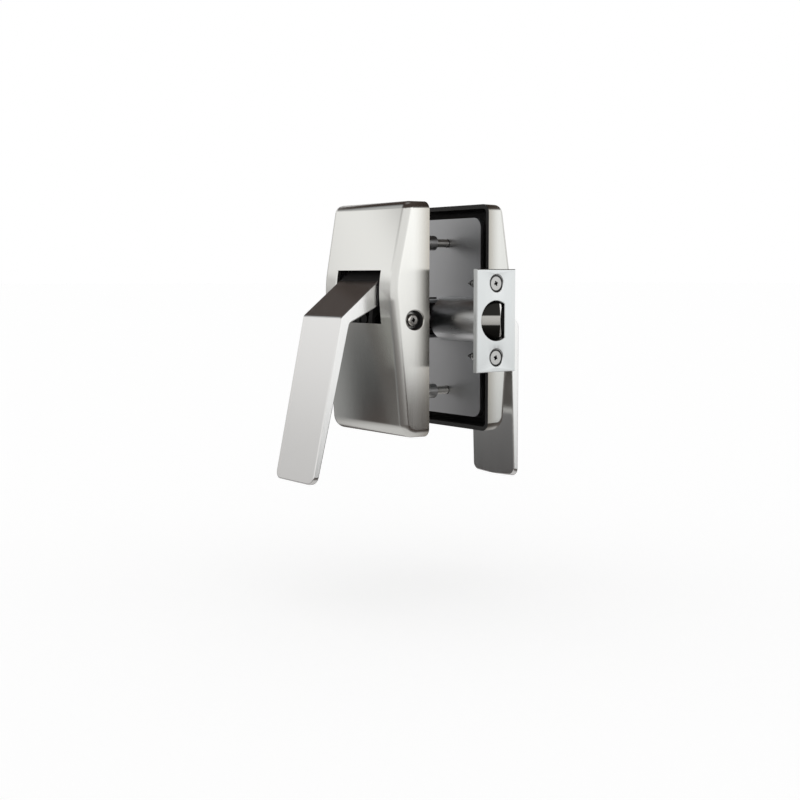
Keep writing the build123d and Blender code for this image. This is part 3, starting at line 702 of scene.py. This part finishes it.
# Light. Matt surfaces get a plain white room. Reflections see a studio that is dark below the
# horizon and bright above it, with three walls of their own levels, each given by its azimuth, half
# width and levels by degrees of height, and soft round screens: azimuth, height, radii and level.
room_levels = (
    (-90, 0.66), (-45, 0.62), (-33, 0.13), (-15, 0.09), (-9, 0.09), (-6, 0.12), (-4, 0.30),
    (-1, 0.50), (3, 0.80), (20, 0.95), (27, 0.20), (34, 0.04), (65, 0.04), (90, 0.3))
room_walls = (
    (-46, 42, (
        (-90, 0.66), (-36, 0.60), (-24, 0.20), (-15, 0.13), (-12, 0.18), (-10, 0.25), (-8.5, 0.32),
        (-7.4, 0.42), (-6.5, 0.60), (-5.5, 0.85), (3, 0.95), (20, 0.95), (27, 0.20), (34, 0.04),
        (65, 0.04), (90, 0.3))),
    (-144, 50, (
        (-90, 0.68), (-36, 0.68), (-24, 0.45), (-15, 0.10), (-12, 0.035), (-9, 0.035), (-7.4, 0.28),
        (-2.3, 0.50), (3, 0.68), (6, 0.68), (7.5, 0.80), (9.1, 0.90), (11.5, 1.0), (15, 1.10),
        (17, 1.08), (18.5, 0.78), (21, 0.45), (24, 0.2), (28, 0.035), (65, 0.035), (90, 0.3))),
    (16, 10, (
        (-90, 0.66), (-40, 0.60), (-30, 0.13), (-9, 0.03), (-6.2, 0.03), (-5.2, 0.07), (-4.3, 0.90),
        (-3, 1.10), (0, 1.25), (3, 1.4), (20, 1.4), (25, 0.2), (30, 0.04), (65, 0.04), (90, 0.3))),
)
wall_fade = 8
room_warmth = (0.02, 0.006, 0.0)
room_light = 0.68
screens = (
    (36, -3, 5, 10, 1.3),
    (37, 2, 3.5, 6.5, 1.65),
    (50, 10, 13, 25, 1.2),
    (-172, -10, 12, 25, 0.42),
    (-106, -6, 8, 18, 0.28),
    (-140, 20, 8, 36, 0.56),
)


def levels_by_height(nodes, links, height, levels):
    """The light of one wall, from the floor's middle at nought to the ceiling's at one."""
    wall = nodes.new("ShaderNodeValToRGB")
    while len(wall.color_ramp.elements) < len(levels):
        wall.color_ramp.elements.new(0.5)
    for element, (degrees, shine) in zip(wall.color_ramp.elements, levels):
        element.position = (degrees + 90) / 180
        element.color = (*[shine + warmth for warmth in room_warmth], 1)
    links.new(height, wall.inputs["Fac"])
    return wall.outputs["Color"]


def facing_to(nodes, links, direction, towards, inner, outer, strength=1.0):
    """A mask that fades from its strength to nought between two angles from a direction."""
    facing = nodes.new("ShaderNodeVectorMath")
    facing.operation = "DOT_PRODUCT"
    facing.inputs[1].default_value = towards
    links.new(direction, facing.inputs[0])
    mask = nodes.new("ShaderNodeMapRange")
    mask.interpolation_type = "SMOOTHSTEP"
    mask.inputs["From Min"].default_value = math.cos(math.radians(outer))
    mask.inputs["From Max"].default_value = math.cos(math.radians(inner))
    mask.inputs["To Max"].default_value = strength
    links.new(facing.outputs["Value"], mask.inputs["Value"])
    return mask.outputs["Result"]


def light_room():
    """The world: white to the camera, plain light on matt surfaces, and the studio in reflections."""
    world = bpy.data.worlds.new("studio")
    bpy.context.scene.world = world
    world.use_nodes = True
    nodes = world.node_tree.nodes
    links = world.node_tree.links
    nodes.clear()
    place = nodes.new("ShaderNodeTexCoord")
    split = nodes.new("ShaderNodeSeparateXYZ")
    links.new(place.outputs["Generated"], split.inputs["Vector"])
    rise = nodes.new("ShaderNodeMath")
    rise.operation = "ARCSINE"
    links.new(split.outputs["Z"], rise.inputs[0])
    height = nodes.new("ShaderNodeMapRange")
    height.inputs["From Min"].default_value = -math.pi / 2
    height.inputs["From Max"].default_value = math.pi / 2
    links.new(rise.outputs["Value"], height.inputs["Value"])
    flat = nodes.new("ShaderNodeVectorMath")
    flat.operation = "MULTIPLY"
    flat.inputs[1].default_value = (1, 1, 0)
    links.new(place.outputs["Generated"], flat.inputs[0])
    outward = nodes.new("ShaderNodeVectorMath")
    outward.operation = "NORMALIZE"
    links.new(flat.outputs["Vector"], outward.inputs[0])
    level = levels_by_height(nodes, links, height.outputs["Result"], room_levels)
    for azimuth, half_width, levels in room_walls:
        around = math.radians(azimuth)
        towards = (math.cos(around), math.sin(around), 0)
        span = facing_to(
            nodes, links, outward.outputs["Vector"], towards, half_width, half_width + wall_fade)
        wall = levels_by_height(nodes, links, height.outputs["Result"], levels)
        both_walls = nodes.new("ShaderNodeMixRGB")
        links.new(span, both_walls.inputs["Fac"])
        links.new(level, both_walls.inputs["Color1"])
        links.new(wall, both_walls.inputs["Color2"])
        level = both_walls.outputs["Color"]
    for azimuth, elevation, inner, outer, strength in screens:
        around = math.radians(azimuth)
        up = math.radians(elevation)
        towards = (math.cos(up) * math.cos(around), math.cos(up) * math.sin(around), math.sin(up))
        screen = facing_to(nodes, links, place.outputs["Generated"], towards, inner, outer, strength)
        brighter = nodes.new("ShaderNodeVectorMath")
        brighter.operation = "MAXIMUM"
        links.new(level, brighter.inputs[0])
        links.new(screen, brighter.inputs[1])
        level = brighter.outputs["Vector"]
    studio = nodes.new("ShaderNodeBackground")
    links.new(level, studio.inputs["Color"])
    plain = nodes.new("ShaderNodeBackground")
    plain.inputs["Color"].default_value = (1, 1, 1, 1)
    plain.inputs["Strength"].default_value = room_light
    white = nodes.new("ShaderNodeBackground")
    white.inputs["Color"].default_value = (1, 1, 1, 1)
    path = nodes.new("ShaderNodeLightPath")
    reflected = nodes.new("ShaderNodeMixShader")
    links.new(path.outputs["Is Glossy Ray"], reflected.inputs["Fac"])
    links.new(plain.outputs["Background"], reflected.inputs[1])
    links.new(studio.outputs["Background"], reflected.inputs[2])
    seen = nodes.new("ShaderNodeMath")
    seen.operation = "MAXIMUM"
    links.new(path.outputs["Is Camera Ray"], seen.inputs[0])
    links.new(path.outputs["Is Transmission Ray"], seen.inputs[1])
    direct = nodes.new("ShaderNodeMixShader")
    links.new(seen.outputs["Value"], direct.inputs["Fac"])
    links.new(reflected.outputs["Shader"], direct.inputs[1])
    links.new(white.outputs["Background"], direct.inputs[2])
    leave = nodes.new("ShaderNodeOutputWorld")
    links.new(direct.outputs["Shader"], leave.inputs["Surface"])


light_room()

# Camera. It stands to the right of the pull side, level with the hinge, and looks a little down.
# Its place and its lens are fitted to the latch's corners.
camera_place = (0.5974, -0.4534, 0.0245)
camera_below_level = 4.27
camera_round_from_front = 52.29
camera_data = bpy.data.cameras.new("camera")
camera_data.sensor_width = 36.0
camera_data.lens = 57.39
camera_data.shift_y = -0.0354
camera_data.clip_start = 0.01
camera = bpy.data.objects.new("camera", camera_data)
camera.location = camera_place
camera.rotation_euler = (
    math.radians(90 - camera_below_level), 0, math.radians(camera_round_from_front))
bpy.context.scene.collection.objects.link(camera)
bpy.context.scene.camera = camera
bpy.context.scene.view_settings.view_transform = "Standard"
